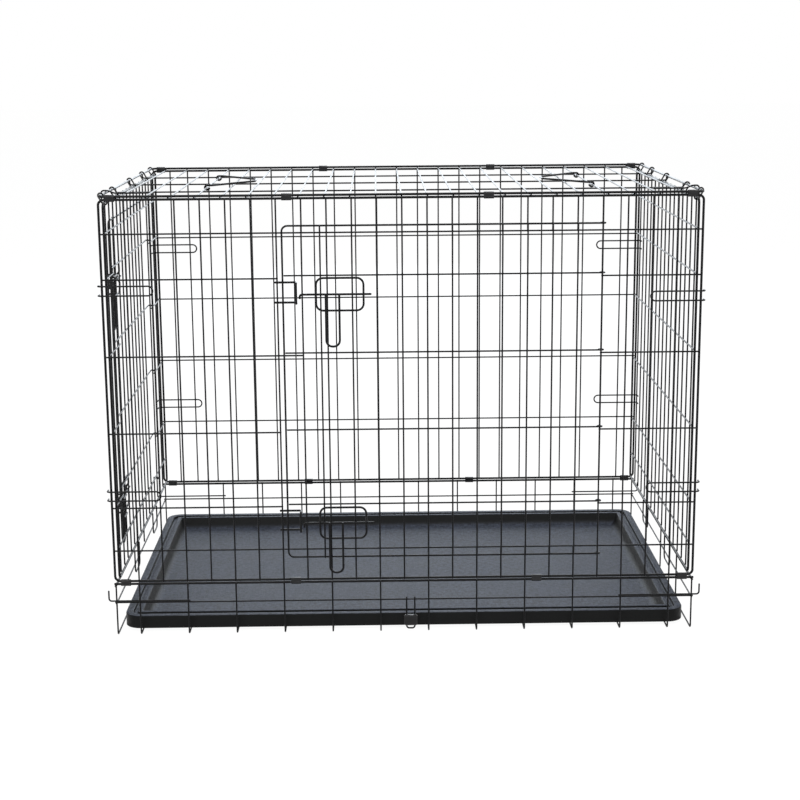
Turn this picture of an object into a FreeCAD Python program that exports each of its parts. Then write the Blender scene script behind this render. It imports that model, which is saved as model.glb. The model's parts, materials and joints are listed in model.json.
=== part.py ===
import FreeCAD, Part
import math
import os

# Folding wire dog crate with a plastic tray. Millimetres, +Z up, ground at z = 0, front towards -Y.

# Overall sizes, from wire centre to wire centre
crate_length = 1065.0
crate_depth = 710.0
roof_height = 808.0
hinge_height = 103.0

# Wire sizes; a drawn wire is a bar with flat sides that are one diameter apart
frame_wire = 4.5
door_wire = 3.5
grid_wire = 3.0
latch_wire = 4.0
frame_sides = 8
grid_sides = 6
weld_overhang = 1.5
bend_stub = 2.0

# Clearances between pieces that move
running_clearance = 0.4
sliding_clearance = 0.35
swing_clearance = 3.75

# Bends
frame_corner = 10.0
door_corner = 10.0
tight_bend = 4.0
curl_step = 45.0
curl_turn = 270.0

# Front, back and end panels
hinge_spacing = 5.5
front_spaces = 24
end_spaces = 16
back_spaces = 20
back_margin = 76.5
back_end_space = 38.5
rail_heights = (161.0, 242.0, 381.0, 522.0, 661.0, 742.0)
back_rail_heights = (243.0, 383.0, 521.0, 657.0)
door_stop_row = 3
door_stop_reach = 45.0

# Doors: the wire numbers beside each doorway, counted from the latch side
front_latch_jamb = 7
front_hinge_jamb = 20
side_latch_jamb = 2
side_hinge_jamb = 13
door_edge_gap = 10.0
door_overlap = 13.0
door_rail_lift = 6.0

# Slide-bolt latches, measured from the wire beside the doorway
bolt_heights = (214.0, 634.0)
keeper_reach = 34.0
keeper_above = 20.0
keeper_below = 16.0
keeper_root = 5.0
bolt_gap = 1.5
bolt_throw = 12.0
bolt_length = 127.0
bolt_tip_drop = 8.0
housing_start = 69.0
housing_width = 84.0
housing_height = 58.0
housing_corner = 12.0
housing_channel = 5.0
housing_step = 4.0
pull_width = 24.0
pull_length = 93.0
latch_upright = 77.0

# Roof
roof_spaces = 22
roof_margin = 30.9
roof_long_spaces = 4
roof_drop = 4.25
wire_tip_rise = 1.0
end_hinge_drop = 12.0
ring_spaces = (0, 3, 8, 12, 15)
hook_rod_inset = 89.0
hook_rod_length = 84.0
hook_rod_rise = 10.0
hook_rod_tip = 21.0
hook_rod_reach = 8.5

# Clips that hold two frame wires together
clip_length = 18.0
clip_wall = 1.2
clip_margin = 0.5
# Places of the inner clips as shares of the crate's length
roof_front_clips = (-0.190, 0.144)
roof_back_clips = (-0.150, 0.1925)
base_front_clips = (-0.1875, 0.229)
base_back_clips = (-0.1925, 0.150)

# Corner loops and end tongues
loop_length = 97.0
loop_height = 17.0
loop_overreach = 6.5
loop_tip = 15.0
front_left_loops = (266.0, 642.0)
front_right_loops = (272.0, 624.0)
back_loops = (283.0, 632.0)
end_gap = 3.5
end_setback = 7.0
tongue_width = 60.0
tongue_length = 44.0
tongue_spaces = (4, 10)

# Base
strip_wire_height = 62.0
foot_bend = 5.0
corner_leg_inset = 1.5
stringer_inset = 155.0
end_strip_spaces = 4
hook_height = 67.0
hook_run = 138.0
hook_overreach = 12.0
hook_rise = 20.0
hook_bend = 5.0

# Closing clasp
clasp_place = 11.0
clasp_width = 15.0
clasp_length = 55.0
grip_width = 25.0
grip_height = 20.0
grip_depth = 11.0
grip_lift = 6.0
grip_edge = 2.5

# Carry handles
handle_wire_number = 8
handle_spread = 120.0
handle_nose = 24.0
handle_reach = 84.0
handle_bend = 20.0

# Tray
tray_end_gap = 10.5
tray_side_gap = 13.0
tray_height = 24.0
tray_wall = 2.5
tray_corner = 30.0
tray_lip = 14.0
tray_groove = 8.0
tray_groove_depth = 5.0
tray_ridge = 9.0
tray_slope = 10.0
tray_floor_lift = 3.0

# Places that follow from the sizes above
upright_layer = -(frame_wire + grid_wire) / 2
rail_layer = upright_layer + grid_wire
panel_top = roof_height - hinge_spacing
strip_height = hinge_height - hinge_spacing
end_plane = crate_length / 2 - end_setback
end_width = crate_depth - 2 * (frame_wire / 2 + swing_clearance)
end_top = roof_height - end_hinge_drop
end_bottom = hinge_height + end_gap
cross_height = roof_height - roof_drop
long_height = cross_height - grid_wire
front_pitch = crate_length / front_spaces
end_pitch = end_width / end_spaces
back_pitch = (crate_length - 2 * back_margin) / back_spaces
roof_pitch = (crate_length - 2 * roof_margin) / roof_spaces
corner_leg = crate_length / 2 - corner_leg_inset
tray_length = crate_length - 2 * tray_end_gap
tray_depth = crate_depth - 2 * tray_side_gap

right = FreeCAD.Vector(1, 0, 0)
back = FreeCAD.Vector(0, 1, 0)
up = FreeCAD.Vector(0, 0, 1)
origin = FreeCAD.Vector(0, 0, 0)


def corner_radius(diameter, sides):
    """How far a drawn wire's corners stand from its centre."""
    return diameter / 2 / math.cos(math.pi / sides)


def slide_to_plane(ring, along, point, normal):
    """Carry a ring of points along a direction until it lies in a plane."""
    return [p + along * ((point - p).dot(normal) / along.dot(normal)) for p in ring]


def wire(points, diameter, flat, sides=grid_sides, closed=False):
    """A bar along straight runs, mitred where they meet; one of its sides faces the way of flat."""
    points = [FreeCAD.Vector(*p) for p in points]
    count = len(points)
    runs = count if closed else count - 1
    along = [(points[(i + 1) % count] - points[i]).normalize() for i in range(runs)]
    reach = corner_radius(diameter, sides)
    across = along[0].cross(flat)
    ring = []
    for i in range(sides):
        angle = (i + 0.5) * 2 * math.pi / sides
        ring.append(points[0] + flat * (reach * math.cos(angle)) + across * (reach * math.sin(angle)))
    normals = []
    for i in range(count):
        before = along[i - 1] if closed or i > 0 else along[0]
        after = along[i] if i < runs else along[-1]
        normals.append((before + after).normalize())
    rings = [slide_to_plane(ring, along[0], points[0], normals[0])]
    for i in range(1, count):
        rings.append(slide_to_plane(rings[-1], along[i - 1], points[i], normals[i]))
    faces = []
    for i in range(runs):
        near = rings[i]
        far = rings[(i + 1) % count]
        for j in range(sides):
            k = (j + 1) % sides
            faces.append(Part.Face(Part.makePolygon([near[j], near[k], far[k], far[j], near[j]])))
    if not closed:
        for end in (rings[0], rings[-1]):
            faces.append(Part.Face(Part.makePolygon(end + end[:1])))
    shell = Part.makeShell(faces)
    shell.sewShape()
    solid = Part.makeSolid(shell)
    if solid.Volume < 0:
        solid.reverse()
    return solid


def bend(points, radius, count, closed=False):
    """Round the corners of a path: each becomes a number of smaller ones round an arc of that radius."""
    points = [FreeCAD.Vector(*p) for p in points]
    total = len(points)
    path = []
    for i, corner in enumerate(points):
        if not closed and i in (0, total - 1):
            path.append(corner)
            continue
        to_last = (points[i - 1] - corner).normalize()
        to_next = (points[(i + 1) % total] - corner).normalize()
        half = to_last.getAngle(to_next) / 2
        start = corner + to_last * (radius / math.tan(half))
        centre = corner + (to_last + to_next).normalize() * (radius / math.sin(half))
        step = (math.pi - 2 * half) / count
        first = (start - centre) * (1 / math.cos(step / 2))
        square = (corner - start).normalize() * first.Length
        for k in range(count):
            angle = (k + 0.5) * step
            path.append(centre + first * math.cos(angle) + square * math.sin(angle))
    return path


def curl(axis, radius, side, forward):
    """Path of a wire end curled round an axis: it arrives going forward, on the given side of the axis."""
    path = []
    step = math.radians(curl_step)
    turns = round(curl_turn / curl_step)
    for i in range(turns):
        angle = (i + 0.5) * step
        reach = radius / math.cos(step / 2)
        path.append(axis + side * (reach * math.cos(angle)) + forward * (reach * math.sin(angle)))
    end = math.radians(curl_turn)
    path.append(axis + side * (radius * math.cos(end)) + forward * (radius * math.sin(end)))
    return path


def moved(solids, turn, x, y, mirrored=False):
    """Stand pieces that were drawn as a front panel at another side of the crate."""
    placed = []
    for solid in solids:
        if mirrored:
            solid = solid.mirror(origin, right)
        copy = solid.copy()
        copy.rotate(origin, up, turn)
        copy.translate(FreeCAD.Vector(x, y, 0))
        placed.append(copy)
    return placed


def save(name, solids):
    """Write one node, a group of separate solids."""
    shape = solids[0] if len(solids) == 1 else Part.makeCompound(solids)
    shape.exportStep("parts/" + name + ".step")


def frame_solids(width, low, high):
    """Frame wire of a panel in the XZ plane: top and bottom wires with bent corners, and two side wires."""
    side = width / 2
    straight = frame_corner + bend_stub
    solids = []
    for level, inward in ((high, -straight), (low, straight)):
        ends = [(-side, 0, level + inward), (-side, 0, level), (side, 0, level), (side, 0, level + inward)]
        solids.append(wire(bend(ends, frame_corner, 2), frame_wire, back, frame_sides))
    for x in (-side, side):
        solids.append(wire([(x, 0, low + straight), (x, 0, high - straight)], frame_wire, back, frame_sides))
    return solids


def upright(x, y, low, high):
    """One upright wire of a panel."""
    return wire([(x, y, low - weld_overhang), (x, y, high + weld_overhang)], grid_wire, back)


def panel(width, low, high, places, rails, doorway=None):
    """Frame, uprights and rails of a panel in the XZ plane with its outside towards -Y."""
    inside = width / 2 - frame_wire / 2
    uprights = []
    bars = []
    sill, head = rails[0], rails[-1]
    for x in places:
        if doorway and doorway[0] + weld_overhang < x < doorway[1] - weld_overhang:
            uprights.append(upright(x, upright_layer, low, sill))
            uprights.append(upright(x, upright_layer, head, high))
        else:
            uprights.append(upright(x, upright_layer, low, high))
    for row, z in enumerate(rails):
        spans = [(-inside, inside)]
        if doorway and sill < z < head:
            stop = door_stop_reach if row == door_stop_row else weld_overhang
            spans = [(-inside, doorway[0] + stop), (doorway[1] - weld_overhang, inside)]
        for start, end in spans:
            bars.append(wire([(start, rail_layer, z), (end, rail_layer, z)], grid_wire, back))
    return frame_solids(width, low, high), uprights, bars


def even_places(width, spaces):
    """Places of the uprights between the two side wires of a frame."""
    return [width * k / spaces - width / 2 for k in range(1, spaces)]


# Layers of a door, outwards from the wire that it hangs on
door_eye = door_wire / 2 + corner_radius(grid_wire, grid_sides) + running_clearance
door_layer = upright_layer - door_eye
door_upright_layer = door_layer - (door_wire + grid_wire) / 2
door_rail_layer = door_upright_layer + grid_wire
door_face = door_upright_layer - grid_wire / 2
housing_layer = door_face - latch_wire / 2
bolt_layer = door_face - sliding_clearance - latch_wire / 2
bridge_layer = bolt_layer - latch_wire - sliding_clearance
pull_layer = bolt_layer - latch_wire


def door(latch_x, hinge_x, places):
    """Frame, uprights and rails of a door that hangs on its right-hand wire, in front of a panel."""
    sill = rail_heights[0] - door_overlap
    head = rail_heights[-1] + door_overlap
    edge = latch_x + door_edge_gap
    straight = door_corner + bend_stub
    frame = []
    for level, inward in ((head, -straight), (sill, straight)):
        corner = [(edge, door_layer, level + inward), (edge, door_layer, level), (hinge_x, door_layer, level)]
        axis = FreeCAD.Vector(hinge_x, upright_layer, level)
        path = bend(corner, door_corner, 3)[:-1] + curl(axis, door_eye, -back, right)
        frame.append(wire(path, door_wire, back))
    frame.append(wire([(edge, door_layer, sill + straight), (edge, door_layer, head - straight)],
                      door_wire, back))
    uprights = [upright(x, door_upright_layer, sill, head)
                for x in list(places) + [latch_x + latch_upright]]
    rails = []
    for z in rail_heights[1:-1]:
        level = z + door_rail_lift
        axis = FreeCAD.Vector(hinge_x, upright_layer, level)
        start = FreeCAD.Vector(edge + corner_radius(door_wire, grid_sides), door_rail_layer, level)
        eye = curl(axis, upright_layer - door_rail_layer, -back, right)
        rails.append(wire([start] + eye, grid_wire, back))
    return frame, uprights, rails


def housing(latch_x, height):
    """Latch housing: a rounded wire ring whose two sides bulge outwards to let the bolt slide behind them."""
    left = latch_x + housing_start
    far = left + housing_width
    top = height + housing_height / 2
    bottom = height - housing_height / 2
    near_bulge = housing_channel + housing_step
    path = []
    rounded = bend([(left, housing_layer, top), (far, housing_layer, top), (far, housing_layer, bottom),
                    (left, housing_layer, bottom)], housing_corner, 2, True)
    half = len(rounded) // 2
    for points, x, way in ((rounded[:half], far, 1), (rounded[half:], left, -1)):
        path += points
        for rise, layer in ((near_bulge, housing_layer), (housing_channel, bridge_layer),
                            (-housing_channel, bridge_layer), (-near_bulge, housing_layer)):
            path.append(FreeCAD.Vector(x, layer, height + way * rise))
    return wire(path, latch_wire, back, grid_sides, True)


def bolt(latch_x, height):
    """Slide bolt drawn back clear of its keeper: a rod with a turned-down tip, and a pull hanging from it."""
    tip = latch_x + keeper_reach + 2 * corner_radius(latch_wire, grid_sides) + bolt_gap
    rod = bend([(tip, bolt_layer, height - bolt_tip_drop), (tip, bolt_layer, height),
                (tip + bolt_length, bolt_layer, height)], tight_bend, 2)
    stop = 2 * corner_radius(latch_wire, grid_sides) + running_clearance
    first = latch_x + housing_start + stop + bolt_throw
    last = first + pull_width
    top = height + latch_wire / 2
    low = height - pull_length
    pull = bend([(first, pull_layer, top), (first, pull_layer, low), (last, pull_layer, low),
                 (last, pull_layer, top)], pull_width / 2 - tight_bend / 4, 3)
    return [wire(rod, latch_wire, back), wire(pull, latch_wire, back)]


def keeper(latch_x, height):
    """Keeper: a wire staple rooted behind the doorway's wire, standing out through the door for the bolt."""
    root = upright_layer + grid_wire / 2 + corner_radius(latch_wire, grid_sides)
    start = latch_x - keeper_root
    bar = latch_x + keeper_reach
    high = height + keeper_above
    low = height - keeper_below
    path = [(start, root, high), (bar, root, high), (bar, bridge_layer, high), (bar, bridge_layer, low),
            (bar, root, low), (start, root, low)]
    return wire(bend(path, tight_bend, 2), latch_wire, up)


def corner_loop(height, width):
    """Hairpin wire on a panel's left edge, with both tips turned round the corner."""
    layer = upright_layer - grid_wire
    outer = -width / 2 - loop_overreach
    far = outer + loop_length
    high = height + loop_height / 2
    low = height - loop_height / 2
    tip = layer + loop_tip
    hairpin = bend([(outer, layer, high), (far, layer, high), (far, layer, low), (outer, layer, low)],
                   loop_height / 2, 2)
    return wire([(outer, tip, high)] + hairpin + [(outer, tip, low)], grid_wire, right)


def tongue(place):
    """Wire tongue that hangs from the bottom of an end panel, inside the base."""
    layer = (frame_wire + grid_wire) / 2
    side = tongue_width / 2
    low = end_bottom - tongue_length
    top = end_bottom + weld_overhang
    path = [(place - side, layer, top), (place - side, layer, low), (place + side, layer, low),
            (place + side, layer, top)]
    return wire(bend(path, frame_corner, 2), grid_wire, back)


def clip(x, y, low):
    """Sheet-metal sleeve round two frame wires, one above the other."""
    def outline(margin):
        side = frame_wire / 2 + margin
        cut = side * (1 - math.tan(math.pi / frame_sides))
        top = low + hinge_spacing + side
        bottom = low - side
        places = [(-side, bottom + cut), (-side + cut, bottom), (side - cut, bottom), (side, bottom + cut),
                  (side, top - cut), (side - cut, top), (-side + cut, top), (-side, top - cut)]
        points = [FreeCAD.Vector(x - clip_length / 2, y + across, z) for across, z in places]
        return Part.Face(Part.makePolygon(points + points[:1]))
    return outline(clip_wall).cut(outline(0)).extrude(right * clip_length)


def clip_rows(front_shares, back_shares, low):
    """The clips along the front and back edges: one beside each corner and two between."""
    corner = crate_length / 2 - frame_corner - clip_margin - clip_length / 2
    clips = []
    for side, shares in ((-1, front_shares), (1, back_shares)):
        places = [-corner] + [share * crate_length for share in shares] + [corner]
        clips += [clip(x, side * crate_depth / 2, low) for x in places]
    return clips


def base_nodes():
    """Floor wires with their legs, strips, stringers and hook rods."""
    leg_layer = crate_depth / 2 - upright_layer
    floor = grid_wire / 2
    leg_places = [front_pitch * k - crate_length / 2 for k in range(1, front_spaces, 2)]
    leg_places = [-corner_leg] + leg_places + [corner_leg]
    foot = leg_layer - foot_bend - bend_stub
    runs = []
    legs = {-1: [], 1: []}
    for x in leg_places:
        runs.append(wire([(x, -foot, floor), (x, foot, floor)], grid_wire, up))
        for side in legs:
            path = [(x, side * leg_layer, strip_height + weld_overhang), (x, side * leg_layer, floor),
                    (x, side * foot, floor)]
            legs[side].append(wire(bend(path, foot_bend, 2), grid_wire, back))
    save("base_floor_wires", runs)
    save("base_front_legs", legs[-1])
    save("base_back_legs", legs[1])
    stringer_end = corner_leg + weld_overhang
    stringer_reach = crate_depth / 2 - stringer_inset
    stringers = [wire([(-stringer_end, y, floor + grid_wire), (stringer_end, y, floor + grid_wire)],
                      grid_wire, up) for y in (-stringer_reach, 0, stringer_reach)]
    save("base_floor_stringers", stringers)
    strip_end = crate_length / 2 + frame_wire / 2
    for name, side in (("base_front_strip", -1), ("base_back_strip", 1)):
        y = side * crate_depth / 2
        inner = side * (crate_depth / 2 - rail_layer)
        save(name, [wire([(-strip_end, y, strip_height), (strip_end, y, strip_height)],
                         frame_wire, back, frame_sides),
                    wire([(-strip_end, inner, strip_wire_height), (strip_end, inner, strip_wire_height)],
                         grid_wire, back)])
    end_high = strip_height - frame_wire
    end_low = strip_wire_height - grid_wire / 2 - corner_radius(grid_wire, grid_sides)
    long_end = crate_depth / 2
    strips = []
    for side in (-1, 1):
        x = side * crate_length / 2
        strips.append(wire([(x, -long_end, end_high), (x, long_end, end_high)], frame_wire, up, frame_sides))
        strips.append(wire([(x, -long_end, end_low), (x, long_end, end_low)], grid_wire, up))
        outer = x + side * (frame_wire + grid_wire) / 2
        lowest = grid_wire if side > 0 else end_low - weld_overhang
        places = even_places(crate_depth, end_strip_spaces) if side > 0 else (end_pitch,)
        for y in places:
            strips.append(wire([(outer, y, end_high + weld_overhang), (outer, y, lowest)], grid_wire, right))
    save("base_end_strips", strips)
    hooks = []
    hook_layer = leg_layer + grid_wire
    for side in (-1, 1):
        for edge in (-1, 1):
            outer = edge * (crate_length / 2 + hook_overreach)
            inner = edge * (crate_length / 2 - hook_run)
            path = [(inner, side * hook_layer, hook_height), (outer, side * hook_layer, hook_height),
                    (outer, side * hook_layer, hook_height + hook_rise)]
            hooks.append(wire(bend(path, hook_bend, 2), grid_wire, back))
    save("base_hook_rods", hooks)
    save("base_clips", clip_rows(base_front_clips, base_back_clips, strip_height))


def doorway_set(prefix, width, spaces, latch_jamb, hinge_jamb, low, high, place):
    """A panel with a doorway and its door; place stands the drawn pieces where they belong."""
    pitch = width / spaces
    latch_x = pitch * latch_jamb - width / 2
    hinge_x = pitch * hinge_jamb - width / 2
    places = even_places(width, spaces)
    names = ("_frame", "_uprights", "_rails")
    for name, solids in zip(names, panel(width, low, high, places, rail_heights, (latch_x, hinge_x))):
        save(prefix[0] + name, place(solids))
    within = [x for x in places if latch_x + weld_overhang < x < hinge_x - weld_overhang]
    for name, solids in zip(names, door(latch_x, hinge_x, within)):
        save(prefix[1] + "_door" + name, place(solids))
    save(prefix[1] + "_latch_keepers", place([keeper(latch_x, z) for z in bolt_heights]))
    save(prefix[1] + "_latch_housings", place([housing(latch_x, z) for z in bolt_heights]))
    for name, z in zip(("lower", "upper"), bolt_heights):
        save(prefix[1] + "_" + name + "_bolt", place(bolt(latch_x, z)))


def front_nodes():
    """Front panel with its door and latches."""
    def place(solids):
        return moved(solids, 0, 0, -crate_depth / 2)
    doorway_set(("front_panel", "front"), crate_length, front_spaces, front_latch_jamb, front_hinge_jamb,
                hinge_height, panel_top, place)


def back_nodes():
    """Back panel and the corner loops of the front and back panels."""
    places = [back_pitch * (k - back_spaces / 2) for k in range(back_spaces + 1)]
    outer = crate_length / 2 - back_end_space
    places = [-outer] + places + [outer]
    solids = panel(crate_length, hinge_height, panel_top, places, back_rail_heights)
    for name, group in zip(("back_panel_frame", "back_panel_uprights", "back_panel_rails"), solids):
        save(name, moved(group, 180, 0, crate_depth / 2))
    front_y = -crate_depth / 2
    loops = moved([corner_loop(z, crate_length) for z in front_left_loops], 0, 0, front_y)
    loops += moved([corner_loop(z, crate_length) for z in front_right_loops], 0, 0, front_y, True)
    at_back = [corner_loop(z, crate_length) for z in back_loops]
    loops += moved(at_back, 180, 0, -front_y)
    loops += moved(at_back, 180, 0, -front_y, True)
    save("corner_loops", loops)


def end_nodes():
    """Left end panel with its door, and right end panel."""
    def place_left(solids):
        return moved(solids, -90, -end_plane, 0, True)

    def place_right(solids):
        return moved(solids, 90, end_plane, 0)

    doorway_set(("left_end", "side"), end_width, end_spaces, side_latch_jamb, side_hinge_jamb,
                end_bottom, end_top, place_left)
    solids = panel(end_width, end_bottom, end_top, even_places(end_width, end_spaces), rail_heights)
    for name, group in zip(("right_end_frame", "right_end_uprights", "right_end_rails"), solids):
        save(name, place_right(group))
    tongues = [tongue(end_pitch * (k + 0.5) - end_width / 2) for k in tongue_spaces]
    save("left_end_tongues", place_left(tongues))
    save("right_end_tongues", place_right(tongues))


def roof_frame():
    """Roof frame wire: front and back wires with bent corners, and two end wires."""
    half_length = crate_length / 2
    half_depth = crate_depth / 2
    solids = []
    for side in (-1, 1):
        y = side * half_depth
        inner = half_depth - frame_corner - bend_stub
        short = side * inner
        path = [(-half_length, short, roof_height), (-half_length, y, roof_height),
                (half_length, y, roof_height), (half_length, short, roof_height)]
        solids.append(wire(bend(path, frame_corner, 2), frame_wire, up, frame_sides))
        x = side * half_length
        solids.append(wire([(x, -inner, roof_height), (x, inner, roof_height)], frame_wire, up, frame_sides))
    return solids


def hinge_ring(side, space):
    """Wire ring round the roof's end wire and the top wire of an end panel."""
    radius = corner_radius(frame_wire, frame_sides) + running_clearance + grid_wire / 2
    y = end_pitch * (space + 0.5) - end_width / 2
    upper = FreeCAD.Vector(side * crate_length / 2, y, roof_height)
    lower = FreeCAD.Vector(side * end_plane, y, end_top)
    along = (lower - upper).normalize()
    across = along.cross(back)
    corner_turn = math.pi / 3
    reach = radius / math.cos(corner_turn / 2)
    path = []
    for centre, way in ((upper, -reach), (lower, reach)):
        for turn in (-corner_turn, 0, corner_turn):
            path.append(centre + along * (way * math.cos(turn)) + across * (way * math.sin(turn)))
    return wire(path, grid_wire, back, grid_sides, True)


def roof_nodes():
    """Roof frame, mesh, hinge rings, hook rods and clips."""
    save("roof_frame", roof_frame())
    tip = roof_height + wire_tip_rise
    inset = frame_wire / 2 + grid_wire / 2
    edge = crate_depth / 2 - inset
    crosses = []
    for k in range(roof_spaces + 1):
        x = roof_pitch * (k - roof_spaces / 2)
        path = [(x, -edge, tip), (x, -edge, cross_height), (x, edge, cross_height), (x, edge, tip)]
        crosses.append(wire(path, grid_wire, back))
    save("roof_cross_wires", crosses)
    end = crate_length / 2 - inset
    longs = []
    for k in range(1, roof_long_spaces):
        y = crate_depth * k / roof_long_spaces - crate_depth / 2
        path = [(-end, y, tip), (-end, y, long_height), (end, y, long_height), (end, y, tip)]
        longs.append(wire(path, grid_wire, right))
    save("roof_long_wires", longs)
    save("roof_hinge_rings", [hinge_ring(side, k) for side in (-1, 1) for k in ring_spaces])
    rods = []
    hook_y = hook_rod_inset - crate_depth / 2
    on_mesh = cross_height + grid_wire
    over_frame = roof_height + (frame_wire + grid_wire) / 2
    for side in (-1, 1):
        outer = crate_length / 2 + hook_rod_reach
        inner = outer - hook_rod_length
        step = crate_length / 2 - frame_wire
        path = [(side * inner, hook_y, on_mesh), (side * (step - hook_rod_rise), hook_y, on_mesh),
                (side * step, hook_y, over_frame), (side * outer, hook_y, over_frame),
                (side * outer, hook_y, over_frame - hook_rod_tip)]
        rods.append(wire(path, grid_wire, up))
    save("roof_hook_rods", rods)
    save("roof_clips", clip_rows(roof_front_clips, roof_back_clips, panel_top))


def clasp_nodes():
    """Closing clasp that hangs from the front strip's middle wire."""
    axis_y = -crate_depth / 2 + rail_layer
    radius = corner_radius(grid_wire, grid_sides) + running_clearance + grid_wire / 2
    half = clasp_width / 2
    hang = axis_y - radius
    low = strip_wire_height - clasp_length
    path = []
    for x, order in ((clasp_place - half, -1), (clasp_place + half, 1)):
        axis = FreeCAD.Vector(x, axis_y, strip_wire_height)
        eye = curl(axis, radius, -back, up)
        if order < 0:
            path += eye[::-1] + [FreeCAD.Vector(x, hang, low)]
        else:
            path += [FreeCAD.Vector(x, hang, low)] + eye
    save("closing_clasp_wire", [wire(path, grid_wire, right)])
    block = Part.makeBox(grip_width, grip_depth, grip_height)
    block = block.makeChamfer(grip_edge, block.Edges)
    block.translate(FreeCAD.Vector(clasp_place - grip_width / 2, hang - grip_depth / 2, low + grip_lift))
    for x in (clasp_place - half, clasp_place + half):
        block = block.cut(wire([(x, hang, low), (x, hang, strip_wire_height)], grid_wire, right))
    save("closing_clasp_grip", [block])


def handle_nodes():
    """Two carry handles, wire bails that lie on the roof mesh with their ends curled round a cross wire."""
    radius = latch_wire / 2 + corner_radius(grid_wire, grid_sides) + running_clearance
    pivot = roof_pitch * handle_wire_number
    level = cross_height + radius
    for name, side in (("left_carry_handle", -1), ("right_carry_handle", 1)):
        inward = right * -side
        nose = side * (pivot - handle_reach)
        eyes = []
        leads = []
        for y in (handle_spread, -handle_spread):
            axis = FreeCAD.Vector(side * pivot, y, cross_height)
            eyes.append(curl(axis, radius, up, -inward))
            leads.append(axis + up * radius + inward * (2 * radius))
        tips = [FreeCAD.Vector(nose, y, level) for y in (handle_nose, -handle_nose)]
        loop = bend([leads[0], tips[0], tips[1], leads[1]], handle_bend, 2)
        save(name, [wire(eyes[0][::-1] + loop + eyes[1], latch_wire, back)])


def rounded_plate(inset, low, high, top_inset=None):
    """Rounded rectangular slab, drawn in from the tray's edge; a top inset gives it sloping sides."""
    outlines = []
    for margin, z in ((inset, low), (inset if top_inset is None else top_inset, high)):
        half_length = tray_length / 2 - margin
        half_depth = tray_depth / 2 - margin
        radius = max(tray_corner - margin, tray_wall)
        edges = []
        arcs = []
        for quarter, (across, along) in enumerate(((1, 1), (-1, 1), (-1, -1), (1, -1))):
            centre = FreeCAD.Vector(across * (half_length - radius), along * (half_depth - radius), z)
            start = quarter * math.pi / 2
            arcs.append(Part.Circle(centre, up, radius).toShape(start, start + math.pi / 2))
        for i, arc in enumerate(arcs):
            edges.append(arc)
            nearest = arcs[(i + 1) % len(arcs)]
            edges.append(Part.makeLine(arc.Vertexes[1].Point, nearest.Vertexes[0].Point))
        outlines.append(Part.Wire(edges))
    return Part.makeLoft(outlines, True, True)


def tray_nodes():
    """Moulded tray: lip, groove and ridge round a sunken floor, hollow under the rim."""
    bottom = 2 * grid_wire + sliding_clearance
    top = bottom + tray_height
    floor_top = bottom + tray_floor_lift
    groove_end = tray_lip + tray_groove
    ridge_end = groove_end + tray_ridge
    slope_end = ridge_end + tray_slope
    groove_floor = top - tray_groove_depth
    tray = rounded_plate(0, bottom, top)
    tray = tray.cut(rounded_plate(slope_end, floor_top, top, ridge_end))
    groove = rounded_plate(tray_lip, groove_floor, top).cut(rounded_plate(groove_end, groove_floor, top))
    tray = tray.cut(groove)
    hollow_top = groove_floor - tray_wall
    hollow = rounded_plate(tray_wall, bottom, hollow_top)
    core = rounded_plate(slope_end - tray_wall, bottom, hollow_top, ridge_end - tray_wall)
    hollow = hollow.cut(core)
    save("tray", [tray.cut(hollow)])


def main():
    os.makedirs("parts", exist_ok=True)
    base_nodes()
    front_nodes()
    back_nodes()
    end_nodes()
    roof_nodes()
    clasp_nodes()
    handle_nodes()
    tray_nodes()


main()
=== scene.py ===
# %% [markdown]
# # A folding wire dog crate
# The crate is some three hundred lengths of steel wire, bent, welded together and dipped in black paint,
# with a moulded plastic tray on its floor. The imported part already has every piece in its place, so this
# lesson is about looks: how to turn flat-sided bars into round painted wire, how to give the tray its
# soft edges and grain, and how to light something that is mostly gaps.

# %% Load the part
import json
import math
import bmesh
import bpy
from mathutils import Matrix, Vector

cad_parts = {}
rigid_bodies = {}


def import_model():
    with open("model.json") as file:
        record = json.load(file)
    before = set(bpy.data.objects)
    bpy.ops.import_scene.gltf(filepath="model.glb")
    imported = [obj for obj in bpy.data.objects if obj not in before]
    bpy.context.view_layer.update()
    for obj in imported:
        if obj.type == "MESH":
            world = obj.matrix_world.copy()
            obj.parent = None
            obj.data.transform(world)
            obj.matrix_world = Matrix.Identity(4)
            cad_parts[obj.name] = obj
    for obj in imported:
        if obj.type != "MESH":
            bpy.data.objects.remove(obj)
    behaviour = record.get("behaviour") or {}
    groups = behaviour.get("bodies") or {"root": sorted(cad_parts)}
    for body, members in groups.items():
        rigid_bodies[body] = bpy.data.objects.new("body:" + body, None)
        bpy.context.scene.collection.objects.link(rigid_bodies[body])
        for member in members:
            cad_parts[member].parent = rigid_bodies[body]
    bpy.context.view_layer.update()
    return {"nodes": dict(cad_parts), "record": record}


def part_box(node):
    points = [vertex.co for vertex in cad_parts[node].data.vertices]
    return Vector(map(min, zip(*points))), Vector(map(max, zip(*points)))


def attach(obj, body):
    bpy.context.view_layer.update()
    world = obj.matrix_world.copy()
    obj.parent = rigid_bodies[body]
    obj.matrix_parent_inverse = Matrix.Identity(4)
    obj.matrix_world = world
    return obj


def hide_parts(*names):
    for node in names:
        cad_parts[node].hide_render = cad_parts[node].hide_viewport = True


for leftover in list(bpy.data.objects):
    bpy.data.objects.remove(leftover)
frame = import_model()
record = frame["record"]
slot_of_node = {piece["node"]: piece["material_slot"] for piece in record["subparts"]}
body_of_node = {}
for body, nodes in record["behaviour"]["bodies"].items():
    body_of_node.update(dict.fromkeys(nodes, body))

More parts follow.
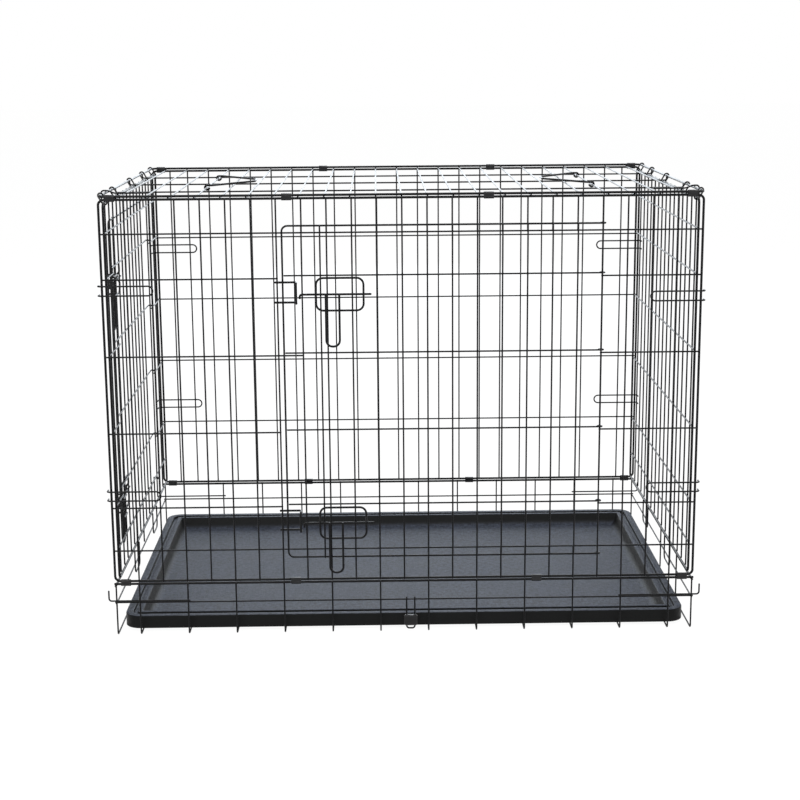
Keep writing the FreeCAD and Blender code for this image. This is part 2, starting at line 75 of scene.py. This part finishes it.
# %% [markdown]
# ## Shader maths as expressions
# A node graph for paint is a page of small sums. Joining Math nodes by hand hides those sums, so a
# wrapped socket is used instead: adding or multiplying two of them adds the Math node. Everything that
# isn't a sum comes from one method that names a node, its settings and what goes into its sockets. A Math
# node would turn a colour grey, so colours have a mix of their own.

# %% A socket that can be added and multiplied
# A Mix node has two inputs and an output for each kind of data; these are the numbers of the colour ones
mix_first = 6
mix_second = 7
mix_result = 2


class Signal:
    """An output socket of a shader node, with the usual sums as operators."""

    def __init__(self, tree, socket=None):
        self.tree = tree
        self.socket = socket

    def node(self, kind, settings, values, output=0):
        """Add a node: its settings first, then the value or link of each socket, by name or number."""
        made = self.tree.nodes.new(kind)
        for name, value in settings.items():
            setattr(made, name, value)
        for name, value in values.items():
            if isinstance(value, Signal):
                self.tree.links.new(value.socket, made.inputs[name])
            else:
                made.inputs[name].default_value = value
        return Signal(self.tree, made.outputs[output])

    def sum_of(self, operation, first, second):
        """A Math node on two signals or numbers."""
        return self.node("ShaderNodeMath", {"operation": operation}, {0: first, 1: second})

    def __add__(self, other):
        return self.sum_of("ADD", self, other)

    def __sub__(self, other):
        return self.sum_of("SUBTRACT", self, other)

    def __rsub__(self, other):
        return self.sum_of("SUBTRACT", other, self)

    def __mul__(self, other):
        return self.sum_of("MULTIPLY", self, other)

    __radd__ = __add__
    __rmul__ = __mul__

    def between(self, low, high):
        """The same signal stretched so that low becomes 0 and high becomes 1, and cut off outside."""
        values = {"Value": self, "From Min": low, "From Max": high}
        return self.node("ShaderNodeMapRange", {"clamp": True}, values)

    def blend(self, first, second):
        """A colour mix of first and second with this signal as the share of second."""
        values = {"Factor": self, mix_first: first, mix_second: second}
        return self.node("ShaderNodeMix", {"data_type": "RGBA"}, values, mix_result)


# %% [markdown]
# ## What the finishes share
# Every finish needs to know where a point is, and some need to know which way it faces. The world's axes
# could say so, but a door that swings would then slide through its own pattern, so both are read in the
# piece's own frame. Colour, roughness and bump are the three signals that make a surface; the strength of
# its shine is one number.


# %% Places, noises and the shader
def finish_named(name):
    """A new material; returns it with its Principled shader and a signal that sums can start from."""
    material = bpy.data.materials.new(name)
    material.use_nodes = True
    return material, material.node_tree.nodes["Principled BSDF"], Signal(material.node_tree)


def own_place(start):
    """Where a point lies in its piece's own frame, so that a pattern moves with the piece."""
    return start.node("ShaderNodeTexCoord", {}, {}, "Object")


def own_upward(start, low, high):
    """How far a face looks up when the piece is at rest: 0 below low, 1 above high."""
    facing = start.node("ShaderNodeTexCoord", {}, {}, "Normal")
    return start.node("ShaderNodeSeparateXYZ", {}, {"Vector": facing}, "Z").between(low, high)


def noise(place, scale, detail, roughness=0.55):
    """A noise with about scale bumps to the metre; detail adds finer ones."""
    values = {"Vector": place, "Scale": scale, "Detail": detail, "Roughness": roughness}
    return place.node("ShaderNodeTexNoise", {}, values)


def dress(shader, colour, roughness, height, strength, depth, shine):
    """Give a shader its three signals, with the bump's depth in metres, and one shine all over."""
    bump = height.node("ShaderNodeBump", {}, {"Strength": strength, "Distance": depth, "Height": height})
    for socket, signal in (("Base Color", colour), ("Roughness", roughness), ("Normal", bump)):
        signal.tree.links.new(signal.socket, shader.inputs[socket])
    shader.inputs["Specular IOR Level"].default_value = shine


# %% [markdown]
# ## Black electro-coat
# The wire is dipped in a bath and the paint is drawn on by a current, so the film is thin, even and half
# glossy. On the real crate its colour hardly changes, but the sheen does: it is a little duller in
# patches, it has a fine orange peel, and dust lies on the upper side of level wires. A plain black
# Principled shader would look like a drawing of wire, so patches and dust vary its colour and roughness,
# and the peel makes its bump.


# %% Paint on the wires
def black_coat():
    """Black paint with duller patches, orange peel and a little dust on top."""
    fresh_black = (0.0028, 0.0029, 0.0034, 1)
    faded_black = (0.0066, 0.0068, 0.0078, 1)
    dust_grey = (0.045, 0.045, 0.046, 1)
    dust_cover = 0.30
    smoothest = 0.22
    patch_dulling = 0.14
    dust_dulling = 0.25
    material, shader, start = finish_named("black_coat")
    place = own_place(start)
    patches = noise(place, scale=14.0, detail=3.0)
    peel = noise(place, scale=900.0, detail=2.0)
    specks = noise(place, scale=160.0, detail=4.0, roughness=0.7).between(0.48, 0.75)
    dust = dust_cover * own_upward(start, 0.55, 1.0) * specks
    colour = dust.blend(patches.blend(fresh_black, faded_black), dust_grey)
    roughness = smoothest + patch_dulling * patches + dust_dulling * dust
    dress(shader, colour, roughness, peel, strength=0.12, depth=0.0002, shine=0.14)
    return material


finishes = {"black_wire": black_coat()}
print("nodes in the wire's paint:", len(finishes["black_wire"].node_tree.nodes))

# %% [markdown]
# ## Coated sheet steel
# The clips are strips of sheet steel pressed round two wires. They have the same paint, but pressing
# leaves fine scratches along the wires and rubs the paint greyer. Scratches could be painted on an
# unwrapped clip; a noise that is stretched along the wires needs no unwrapping, and drives the colour, the
# roughness and the bump.


# %% Paint on the clips
def stretched(place, scale):
    """A place for a noise that is drawn out along the axes with a small scale."""
    return place.node("ShaderNodeMapping", {}, {"Vector": place, "Scale": scale})


def clip_coat():
    """Black paint, scratched and rubbed grey by the press."""
    fresh_black = (0.006, 0.006, 0.007, 1)
    rubbed_grey = (0.085, 0.086, 0.09, 1)
    along_wires = (60.0, 900.0, 900.0)
    smoothest = 0.30
    wear_dulling = 0.18
    material, shader, start = finish_named("clip_coat")
    place = own_place(start)
    lines = noise(stretched(place, along_wires), scale=1.0, detail=4.0, roughness=0.65)
    scratches = lines.between(0.5, 0.72)
    rubbed = noise(place, scale=120.0, detail=3.0).between(0.45, 0.7)
    worn = scratches * rubbed
    colour = worn.blend(fresh_black, rubbed_grey)
    roughness = smoothest + wear_dulling * worn
    dress(shader, colour, roughness, scratches, strength=0.15, depth=0.0002, shine=0.3)
    return material


finishes["clip_steel"] = clip_coat()
print("nodes in the clips' paint:", len(finishes["clip_steel"].node_tree.nodes))

# %% [markdown]
# ## Moulded tray plastic
# The tray is black polyethylene from a textured mould. Its level faces are painted slate grey: partly dust
# and fine scuffs that lie in the grain, partly a painted sheen for the light that level plastic reflects,
# while the upright walls stay black and glossier. One noise would look like sand, so the grain adds up
# three: leathery cells a few millimetres across, threads drawn out both ways like linen, and the fine bite
# of the mould. The grey follows the threads, a mottle and a slow cloud. A mask of how far a face looks up
# keeps it off the walls; the mask is cubed, so the slopes and fillets between floor and walls stay darker
# as painted shade.


# %% Plastic of the tray
def tray_plastic():
    """Black plastic with a linen grain; where it looks up, slate grey dust and a painted sheen."""
    wall_black = (0.0050, 0.0054, 0.0054, 1)
    wall_faded = (0.0085, 0.0088, 0.0090, 1)
    # Slate grey for the level faces: dust in the grain together with a painted sheen
    dust_and_sheen_dark = (0.0115, 0.014, 0.0205, 1)
    dust_and_sheen_pale = (0.061, 0.071, 0.096, 1)
    along_length = (60.0, 330.0, 200.0)
    along_depth = (330.0, 60.0, 200.0)
    level_roughness = 0.48
    wall_gloss = 0.14
    cloud_dulling = 0.10
    thread_dulling = 0.06
    material, shader, start = finish_named("tray_plastic")
    place = own_place(start)
    cells = start.node("ShaderNodeTexVoronoi", {"feature": "SMOOTH_F1"},
                       {"Vector": place, "Scale": 170.0, "Smoothness": 0.6})
    lengthwise = noise(stretched(place, along_length), scale=1.0, detail=3.0)
    crosswise = noise(stretched(place, along_depth), scale=1.0, detail=3.0)
    linen = 0.5 * lengthwise + 0.5 * crosswise
    fine = noise(place, scale=1500.0, detail=3.0)
    mottle = noise(place, scale=120.0, detail=4.0, roughness=0.6)
    cloud = noise(place, scale=9.0, detail=5.0, roughness=0.65)
    grain = 0.35 * cells + 0.5 * linen + 0.15 * fine
    threads = (0.45 * linen + 0.4 * mottle + 0.15 * cloud).between(0.40, 0.60)
    upward = own_upward(start, 0.40, 0.97)
    # Cubed, the mask lets the grey in only where a face looks nearly straight up; the slopes and fillets
    # keep the dark wall colour as painted shade
    level = upward * upward * upward
    colour = level.blend(cloud.blend(wall_black, wall_faded), threads.blend(dust_and_sheen_dark, dust_and_sheen_pale))
    gloss = wall_gloss * (1 - upward)
    roughness = level_roughness - gloss + cloud_dulling * cloud + thread_dulling * threads
    dress(shader, colour, roughness, grain, strength=0.6, depth=0.0010, shine=0.10)
    return material


finishes["tray_plastic"] = tray_plastic()
print("nodes in the tray's plastic:", len(finishes["tray_plastic"].node_tree.nodes))

# %% [markdown]
# ## Clasp plastic
# The grip of the closing clasp is a small hard moulding, a plain black with the faint marks that the
# plastic leaves as it flows into the mould. It is too small for a grain of its own, so one noise serves
# for all three signals.


# %% Plastic of the grip
def grip_plastic():
    """Black plastic with faint flow marks."""
    flow_black = (0.004, 0.004, 0.0045, 1)
    flow_faded = (0.010, 0.010, 0.011, 1)
    smoothest = 0.32
    flow_dulling = 0.2
    material, shader, start = finish_named("grip_plastic")
    flow = noise(own_place(start), scale=90.0, detail=4.0, roughness=0.6)
    colour = flow.blend(flow_black, flow_faded)
    dress(shader, colour, smoothest + flow_dulling * flow, flow, strength=0.15, depth=0.0003, shine=0.25)
    return material


finishes["grip_plastic"] = grip_plastic()
print("finishes:", ", ".join(finishes))

# %% [markdown]
# ## From flat-sided bars to centre lines
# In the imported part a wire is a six-sided or eight-sided bar, mitred at its bends: cheap to collide and
# exact in size. The wires could be drawn again by hand, but three hundred of them would soon differ from
# the part, so each bar is read back as a centre line. The longest sharp edge of a bar must run along it,
# and all the edges parallel to it start on one ring of corners. Stepping from ring to ring gives the
# middle of every bend, and a ring's size gives the wire's diameter.

# %% Separate the bars
same_point = 1e-6


def solid_of(node):
    """A bmesh of a CAD node, with the corners that its faces share joined up."""
    bm = bmesh.new()
    bm.from_mesh(frame["nodes"][node].data)
    bmesh.ops.remove_doubles(bm, verts=bm.verts, dist=same_point)
    return bm


def islands(bm):
    """Groups of joined vertices, one for each separate bar."""
    seen = set()
    for vert in bm.verts:
        if vert in seen:
            continue
        group = [vert]
        seen.add(vert)
        for member in group:
            for edge in member.link_edges:
                other = edge.other_vert(member)
                if other not in seen:
                    seen.add(other)
                    group.append(other)
        yield group


wire_nodes = sorted(node for node in frame["nodes"] if slot_of_node[node] == "black_wire")
print("nodes made of wire:", len(wire_nodes))

# %% Find a ring of corners
# A real edge turns by more than sharp_edge radians. An edge along the bar strays less than drift from its
# direction, and the corners of one ring lie within thickest of each other, both in metres
sharp_edge = 0.3
drift = 0.0003
thickest = 0.00495


def step_along(vert, along):
    """The next vertex from this one in a direction, or None. A slanting edge drifts a whole side away."""
    for edge in vert.link_edges:
        other = edge.other_vert(vert)
        step = other.co - vert.co
        ahead = step.dot(along)
        if ahead > 0 and (step - along * ahead).length < drift:
            return other
    return None


def start_ring(group):
    """One ring of corners of a bar, and the direction in which it goes on."""
    edges = dict.fromkeys(edge for vert in group for edge in vert.link_edges)
    edges = [edge for edge in edges if edge.calc_face_angle(0) > sharp_edge]
    longest = max(edges, key=lambda edge: edge.calc_length())
    first, last = longest.verts
    along = (last.co - first.co).normalized()
    ring = []
    for edge in edges:
        near, far = sorted(edge.verts, key=lambda vert: vert.co.dot(along))
        aside = near.co - first.co
        aside -= along * aside.dot(along)
        if edge.calc_length() > longest.calc_length() / 2 and aside.length < thickest:
            if step_along(near, along) == far:
                ring.append(near)
    return ring, along


first_bars = solid_of(wire_nodes[0])
first_ring, first_way = start_ring(next(islands(first_bars)))
print("sides of the first bar:", len(first_ring), "direction:", [round(value, 2) for value in first_way])
first_bars.free()


# %% Walk along the bar
def walk(ring, along):
    """Rings from one ring onwards to the end of the bar, or round to the start again."""
    rings = [ring]
    passed = set(ring)
    while along is not None:
        ring = [step_along(vert, along) for vert in rings[-1]]
        if ring[0] in passed:
            return rings, True
        rings.append(ring)
        passed.update(ring)
        behind = rings[-2]
        along = None
        for edge in ring[0].link_edges:
            other = edge.other_vert(ring[0])
            way = (other.co - ring[0].co).normalized()
            if other not in behind and other not in ring and all(step_along(vert, way) for vert in ring):
                along = way
    return rings, False


def middle(ring):
    """The centre of a ring of corners."""
    return sum((vert.co for vert in ring), Vector()) / len(ring)


def centre_lines(node):
    """Centre line, diameter and closed or open, of each wire in a CAD node."""
    bm = solid_of(node)
    lines = []
    for group in list(islands(bm)):
        ring, along = start_ring(group)
        corner = ring[0].co - middle(ring)
        radius = (corner - along * corner.dot(along)).length
        forward, closed = walk(ring, along)
        behind = []
        if not closed:
            # The walk back sets out from the second ring, so its first two rings are known already
            second = [step_along(vert, along) for vert in ring]
            behind = walk(second, -along)[0][2:]
        points = [middle(found) for found in behind[::-1] + forward]
        lines.append((points, 2 * radius * math.cos(math.pi / len(ring)), closed))
    bm.free()
    return lines


wires_of_node = {node: centre_lines(node) for node in wire_nodes}
diameters = [diameter for wires in wires_of_node.values() for points, diameter, closed in wires]
print("wires:", len(diameters), "from", round(min(diameters), 4), "to", round(max(diameters), 4), "m thick")

# %% [markdown]
# ## Round wire
# Real wire is round, and it bends in an arc over the tool. A curve with a round bevel could follow each
# centre line, but it pinches at tight bends, so the tube is swept in bmesh: the corners become arcs
# first, and each ring is cut at the mitre. Smooth shading spreads the turn of a bend or a tip along the
# whole face beside it, which would dim the glint of a long straight wire, so a ring close to each end of
# a run keeps that turn short.

# %% Round the bends
# A bend starts at most sharpest_bend diameters from its corner and turns by at most bend_step at a time.
# Turns under straight radians and points within least_step diameters are left out. A run over long_run
# diameters gets two more points, brace_gap diameters from its ends
bend_step = math.radians(16)
straight = 0.01
sharpest_bend = 1.6
least_step = 0.02
brace_gap = 1.0
long_run = 4.0


def eased(points, closed, diameter):
    """The line with every corner replaced by an arc that touches both of its runs."""
    count = len(points)
    line = []
    for i, corner in enumerate(points):
        if not closed and i in (0, count - 1):
            line.append(corner)
            continue
        back = points[i - 1] - corner
        ahead = points[(i + 1) % count] - corner
        turn = math.pi - back.angle(ahead)
        if turn < straight:
            continue
        reach = min(back.length / 2, ahead.length / 2, sharpest_bend * diameter)
        back.normalize()
        ahead.normalize()
        steps = max(1, math.ceil(turn / bend_step))
        start, stop = corner + back * reach, corner + ahead * reach
        centre = corner + (back + ahead).normalized() * (reach / math.sin(turn / 2))
        axis = (start - centre).cross(stop - centre)
        for k in range(steps + 1):
            point = centre + Matrix.Rotation(turn * k / steps, 3, axis) @ (start - centre)
            if not line or (point - line[-1]).length > least_step * diameter:
                line.append(point)
    if closed and (line[0] - line[-1]).length < least_step * diameter:
        line.pop()
    return line


def pairs(line, closed):
    """Each member of a line with the next one, and the last with the first if the line is closed."""
    return zip(line, line[1:] + line[:1] if closed else line[1:])


def braced(line, closed, diameter):
    """The line with a point near both ends of each long run, which keeps its smooth shading straight."""
    held = []
    for start, stop in pairs(line, closed):
        held.append(start)
        if (stop - start).length > long_run * diameter:
            step = (stop - start).normalized() * (brace_gap * diameter)
            held += [start + step, stop - step]
    return held if closed else held + [line[-1]]


bent_wires = {node: [] for node in wire_nodes}
for node, wires in wires_of_node.items():
    for points, diameter, closed in wires:
        line = braced(eased(points, closed, diameter), closed, diameter)
        bent_wires[node].append((line, diameter, closed))
print("points along the wires:", sum(len(wire[0]) for wires in bent_wires.values() for wire in wires))


# %% Sweep the tubes
# A cut end is chamfered by the share end_round of the wire's radius
tube_sides = 12
end_round = 0.35


def join(bm, near, far):
    """Add the quads between two rings that have as many points each."""
    count = len(near)
    for k in range(count):
        after = (k + 1) % count
        bm.faces.new((near[k], near[after], far[after], far[k]))


def sweep(bm, points, diameter, closed):
    """Add a round tube along a line, cut at the mitre where runs meet, with softened ends."""
    along = [(stop - start).normalized() for start, stop in pairs(points, closed)]
    side = along[0].orthogonal().normalized()
    across = along[0].cross(side)
    angles = [2 * math.pi * k / tube_sides for k in range(tube_sides)]
    offsets = [(side * math.cos(angle) + across * math.sin(angle)) * (diameter / 2) for angle in angles]
    rings = []
    for i, centre in enumerate(points):
        before = along[i - 1] if closed or i else along[0]
        after = along[i] if i < len(along) else along[-1]
        cut = (before + after).normalized()
        offsets = [offset - before * (offset.dot(cut) / before.dot(cut)) for offset in offsets]
        rings.append([centre + offset for offset in offsets])
        offsets = [offset - after * offset.dot(after) for offset in offsets]
    if not closed:
        inset = end_round * diameter / 2
        rings.insert(1, [point + along[0] * inset for point in rings[0]])
        rings.insert(-1, [point - along[-1] * inset for point in rings[-1]])
        for end, tip in ((0, points[0]), (-1, points[-1])):
            rings[end] = [tip + (point - tip) * (1 - end_round) for point in rings[end]]
    made = [[bm.verts.new(point) for point in ring] for ring in rings]
    for near, far in pairs(made, closed):
        join(bm, near, far)
    if not closed:
        bm.faces.new(made[0][::-1])
        bm.faces.new(made[-1])


tubes_of_node = {}
for node, wires in bent_wires.items():
    tubes_of_node[node] = bmesh.new()
    for line, diameter, closed in wires:
        sweep(tubes_of_node[node], line, diameter, closed)
print("faces of round wire:", sum(len(tubes.faces) for tubes in tubes_of_node.values()))


# %% Make the wire pieces
def shown_piece(name, bm, node):
    """Turn a bmesh into a piece that stands for a CAD node and rides with its body."""
    bmesh.ops.recalc_face_normals(bm, faces=bm.faces)
    mesh = bpy.data.meshes.new(name)
    bm.to_mesh(mesh)
    bm.free()
    mesh.shade_smooth()
    piece = bpy.data.objects.new(name, mesh)
    bpy.context.scene.collection.objects.link(piece)
    mesh.materials.append(finishes[slot_of_node[node]])
    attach(piece, body_of_node[node])
    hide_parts(node)
    return piece


wire_pieces = [shown_piece(node + "_round", tubes, node) for node, tubes in tubes_of_node.items()]
print("pieces of round wire:", len(wire_pieces))

# %% [markdown]
# ## The tray
# A moulded tray has no sharp edge anywhere: its lip rolls over, a groove runs round inside it, and a
# ridge drops on a slope to the sunken floor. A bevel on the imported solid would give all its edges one
# width. The shape is one profile carried round a rounded rectangle, so it is made as loops of points, one
# for each point of the profile, joined by quads. Rounding the profile's corners in two dimensions first
# gives every edge its own radius.

# %% Profile of the rim
tray_low, tray_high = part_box("tray")
rim_top = tray_high.z - tray_low.z
tray_wall = 0.0025
lip_end = 0.014
groove_end = 0.022
groove_depth = 0.005
ridge_end = 0.031
floor_start = 0.041
level_floor = 0.075
floor_top = 0.003
groove_floor = rim_top - groove_depth
hollow_top = groove_floor - tray_wall
sharp = 0.0006
edge_round = 0.0016
groove_round = 0.0032
floor_round = 0.026
# Each point is a distance in from the outer edge, a height above the underside and a radius; the level
# stretches at both ends keep the smooth shading of the edges off the wide faces
rim_profile = [(level_floor, 0.0, sharp), (floor_start - tray_wall, 0.0, edge_round),
               (ridge_end - tray_wall, hollow_top, edge_round), (tray_wall, hollow_top, edge_round),
               (tray_wall, 0.0, sharp), (0.0, 0.0, sharp), (0.0, rim_top, edge_round),
               (lip_end, rim_top, groove_round), (lip_end, groove_floor, groove_round),
               (groove_end, groove_floor, groove_round), (groove_end, rim_top, groove_round),
               (ridge_end, rim_top, groove_round), (floor_start, floor_top, floor_round),
               (level_floor, floor_top, sharp)]
# A rounding takes up at most this share of either side that it touches
most_of_side = 0.45
arc_steps = 4


def softened(profile):
    """The profile with its inner corners rounded."""
    points = [Vector((inset, 0, height)) for inset, height, radius in profile]
    radii = [radius for inset, height, radius in profile]
    line = [points[0]]
    for before, corner, after, radius in zip(points, points[1:], points[2:], radii[1:]):
        back, ahead = before - corner, after - corner
        half = back.angle(ahead) / 2
        reach = min(radius / math.tan(half), back.length * most_of_side, ahead.length * most_of_side)
        start, stop = corner + back.normalized() * reach, corner + ahead.normalized() * reach
        for k in range(arc_steps + 1):
            share = k / arc_steps
            line.append(start.lerp(corner, share).lerp(corner.lerp(stop, share), share))
    return line + [points[-1]]


soft_profile = softened(rim_profile)
print("points of the rim:", len(soft_profile))

# %% Carry the profile round the tray
tray_corner = 0.030
corner_points = 10
corner_signs = ((1, 1), (-1, 1), (-1, -1), (1, -1))


def rim_loop(bm, inset, height):
    """One rounded rectangle of points, drawn in from the tray's outer edge."""
    size = (tray_high - tray_low) / 2
    centre = (tray_high + tray_low) / 2
    radius = max(tray_corner - inset, tray_wall)
    loop = []
    for quarter, (x, y) in enumerate(corner_signs):
        middle_x = centre.x + x * (size.x - inset - radius)
        middle_y = centre.y + y * (size.y - inset - radius)
        for k in range(corner_points):
            angle = (quarter + k / (corner_points - 1)) * math.pi / 2
            point_x = middle_x + radius * math.cos(angle)
            point_y = middle_y + radius * math.sin(angle)
            loop.append(bm.verts.new((point_x, point_y, tray_low.z + height)))
    return loop


def moulded_tray():
    """The tray as one closed skin."""
    bm = bmesh.new()
    loops = [rim_loop(bm, point.x, point.z) for point in soft_profile]
    for near, far in pairs(loops, closed=False):
        join(bm, near, far)
    bm.faces.new(loops[0])
    bm.faces.new(loops[-1])
    return shown_piece("tray_moulding", bm, "tray")


tray_piece = moulded_tray()
print("tray faces:", len(tray_piece.data.polygons))

# %% [markdown]
# ## Clips and grip
# These solids have the right shape already, but every edge of a pressed or moulded piece has a small
# radius that catches a line of light. The edges could be cut by hand; a Bevel modifier on a copy does it
# evenly, with the flat faces joined up first so that no bevel runs across a face.

# %% Edges that catch the light
flat_turn = 0.01
edge_turn = math.radians(25)
edge_segments = 3
pressed_edge = 0.0004
moulded_edge = 0.0009


def soft_edged(node, width):
    """A copy of a CAD node with every edge rounded."""
    bm = solid_of(node)
    bmesh.ops.dissolve_limit(bm, angle_limit=flat_turn, verts=bm.verts, edges=bm.edges)
    piece = shown_piece(node + "_soft", bm, node)
    bevel = piece.modifiers.new("edge_radius", "BEVEL")
    bevel.width = width
    bevel.segments = edge_segments
    bevel.limit_method = "ANGLE"
    bevel.angle_limit = edge_turn
    bevel.harden_normals = True
    return piece


edged = [soft_edged("base_clips", pressed_edge), soft_edged("roof_clips", pressed_edge),
         soft_edged("closing_clasp_grip", moulded_edge)]
print("soft-edged pieces:", len(edged))

# %% [markdown]
# ## White ground
# The crate stands on white with almost no shadow. More light could bleach the ground, but it would bleach
# the crate too, so the floor and the world show white only to the camera and to reflections, while their
# light on the crate stays at a plain level.

# %% Floor and world
white = (1, 1, 1, 1)
paper_white = (0.92, 0.92, 0.92, 1)
floor_size = 60.0
glow_strength = 1.06
glow_share = 0.9
plain_light = 0.45


def seen_directly(start):
    """1 for camera, glossy and transmission rays, 0 for the rest."""
    kinds = ("Is Camera Ray", "Is Glossy Ray", "Is Transmission Ray")
    camera, glossy, through = (start.node("ShaderNodeLightPath", {}, {}, kind) for kind in kinds)
    return (camera + glossy + through).between(0.0, 1.0)


def white_floor():
    """Paper that keeps a trace of the crate's shadow under an even glow."""
    material = bpy.data.materials.new("floor_white")
    material.use_nodes = True
    tree = material.node_tree
    tree.nodes.remove(tree.nodes["Principled BSDF"])
    start = Signal(tree)
    paper = start.node("ShaderNodeBsdfDiffuse", {}, {"Color": paper_white})
    glow = start.node("ShaderNodeEmission", {}, {"Color": white, "Strength": glow_strength})
    share = glow_share * seen_directly(start)
    shown = start.node("ShaderNodeMixShader", {}, {0: share, 1: paper, 2: glow})
    tree.links.new(shown.socket, tree.nodes["Material Output"].inputs["Surface"])
    return material


bm = bmesh.new()
bmesh.ops.create_grid(bm, x_segments=1, y_segments=1, size=floor_size / 2)
floor_mesh = bpy.data.meshes.new("floor")
bm.to_mesh(floor_mesh)
bm.free()
floor_mesh.materials.append(white_floor())
floor = bpy.data.objects.new("floor", floor_mesh)
bpy.context.scene.collection.objects.link(floor)

world = bpy.data.worlds.new("studio")
bpy.context.scene.world = world
world.use_nodes = True
start = Signal(world.node_tree)
strength = plain_light + (1 - plain_light) * seen_directly(start)
sky = start.node("ShaderNodeBackground", {}, {"Color": white, "Strength": strength})
world.node_tree.links.new(sky.socket, world.node_tree.nodes["World Output"].inputs["Surface"])
print("floor:", floor_size, "m wide; plain light:", plain_light)

# %% [markdown]
# ## Soft light
# Black wire shows its roundness only by what it reflects. Small lamps would put a hard dot on every wire,
# so four large soft ones stand around it. The wide, faintly blue one at the back is for the wires that
# run in depth: they are seen at a low angle, and turn white along their length where it is mirrored in
# them.

# %% Lamps
aimed_at = Vector((0, 0, 0.4))


def lamp(name, place, size, power, colour=(1, 1, 1)):
    """A round soft lamp that looks at the middle of the crate; size in metres, power in watts."""
    data = bpy.data.lights.new(name, "AREA")
    data.color = colour
    data.shape = "DISK"
    data.size = size
    data.energy = power
    made = bpy.data.objects.new(name, data)
    bpy.context.scene.collection.objects.link(made)
    made.location = place
    made.rotation_euler = (aimed_at - Vector(place)).to_track_quat("-Z", "Y").to_euler()
    return made


lamps = [lamp("front_lamp", (-1.6, -3.4, 3.2), size=2.4, power=70),
         lamp("top_lamp", (0.6, 0.4, 3.6), size=2.8, power=60),
         lamp("side_lamp", (3.4, -1.2, 1.6), size=2.0, power=30),
         lamp("back_lamp", (0.0, 4.6, 1.7), size=3.2, power=80, colour=(0.84, 0.92, 1.0))]
print("lamps:", len(lamps))

# %% [markdown]
# ## The camera
# The photograph was taken from a little left of the middle, about eye height of a sitting person, with a
# long lens. A camera can be placed by eye, but the lines of a wire mesh show the smallest error. So the
# place and angles come from fitting wire crossings whose spacing is known, and they are simply written
# down here.

# %% Camera at the photograph's place
picture_pixels = 800
focal_pixels = 1626.1
film_width = 36.0
camera_place = Vector((-0.0445, -3.2218, 1.0508))
camera_yaw = math.radians(-0.775)
camera_pitch = math.radians(12.055)
camera_roll = math.radians(-0.46)

camera_data = bpy.data.cameras.new("camera")
camera_data.sensor_width = film_width
camera_data.lens = film_width * focal_pixels / picture_pixels
camera = bpy.data.objects.new("camera", camera_data)
bpy.context.scene.collection.objects.link(camera)
level = Vector((math.cos(camera_yaw), math.sin(camera_yaw), 0))
ahead = Vector((-math.sin(camera_yaw), math.cos(camera_yaw), 0)) * math.cos(camera_pitch)
ahead -= Vector((0, 0, math.sin(camera_pitch)))
upright = level.cross(ahead)
rightward = level * math.cos(camera_roll) + upright * math.sin(camera_roll)
upward = upright * math.cos(camera_roll) - level * math.sin(camera_roll)
turn = Matrix((rightward, upward, -ahead)).transposed()
camera.matrix_world = Matrix.Translation(camera_place) @ turn.to_4x4()
bpy.context.scene.camera = camera
bpy.context.scene.view_settings.view_transform = "Standard"
print("lens:", round(camera_data.lens, 1), "mm")
